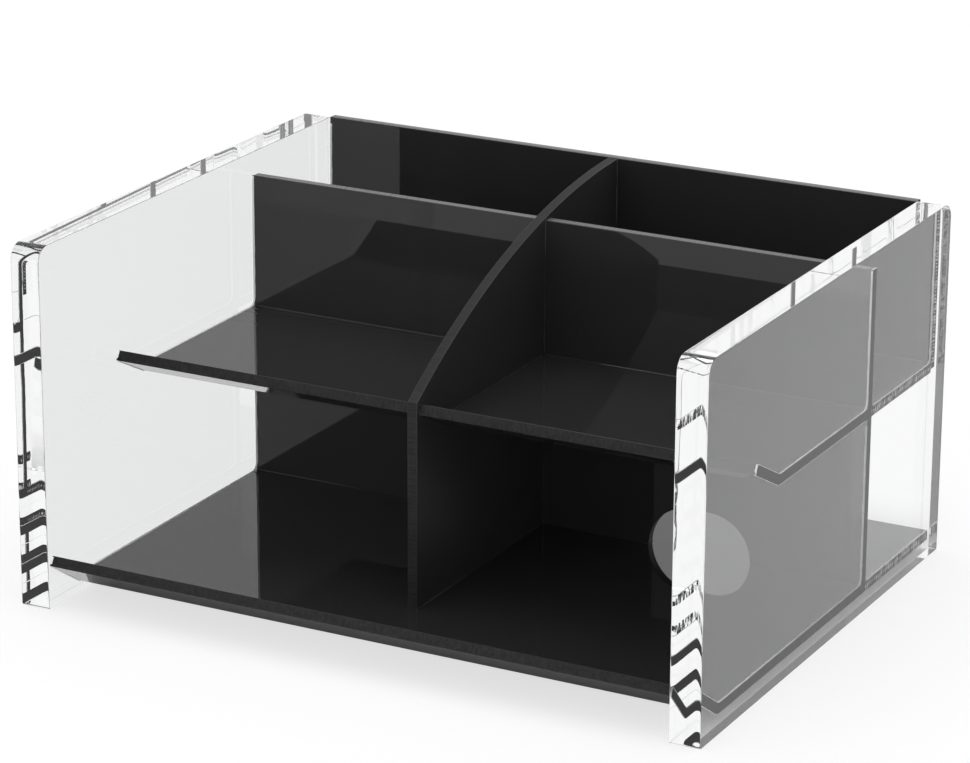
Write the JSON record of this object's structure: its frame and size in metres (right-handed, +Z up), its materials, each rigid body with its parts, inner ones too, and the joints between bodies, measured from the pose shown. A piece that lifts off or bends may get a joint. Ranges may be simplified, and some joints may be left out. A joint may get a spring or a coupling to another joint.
{
  "type": "memo pad holder",
  "caption": "Open desk holder of bonded acrylic sheet: clear side panels, black lipped tray and shelves, a curved divider and a rear pen tray.",
  "frame": {"origin": "middle of the holder, on the surface that it stands on", "axes": "+Z up, -Y towards the user and the open bays, +X to the user's right"},
  "size_m": [0.211, 0.1644, 0.106],
  "materials": {
    "clear_acrylic": "clear cast acrylic with polished edges",
    "black_acrylic": "glossy black acrylic sheet"
  },
  "bodies": {
    "root": {"left_side_panel": "clear_acrylic", "right_side_panel": "clear_acrylic", "base_tray": "black_acrylic", "left_shelf": "black_acrylic", "right_shelf": "black_acrylic", "middle_wall": "black_acrylic", "divider": "black_acrylic", "pen_tray_floor": "black_acrylic", "back_panel": "black_acrylic"}
  },
  "joints": []
}
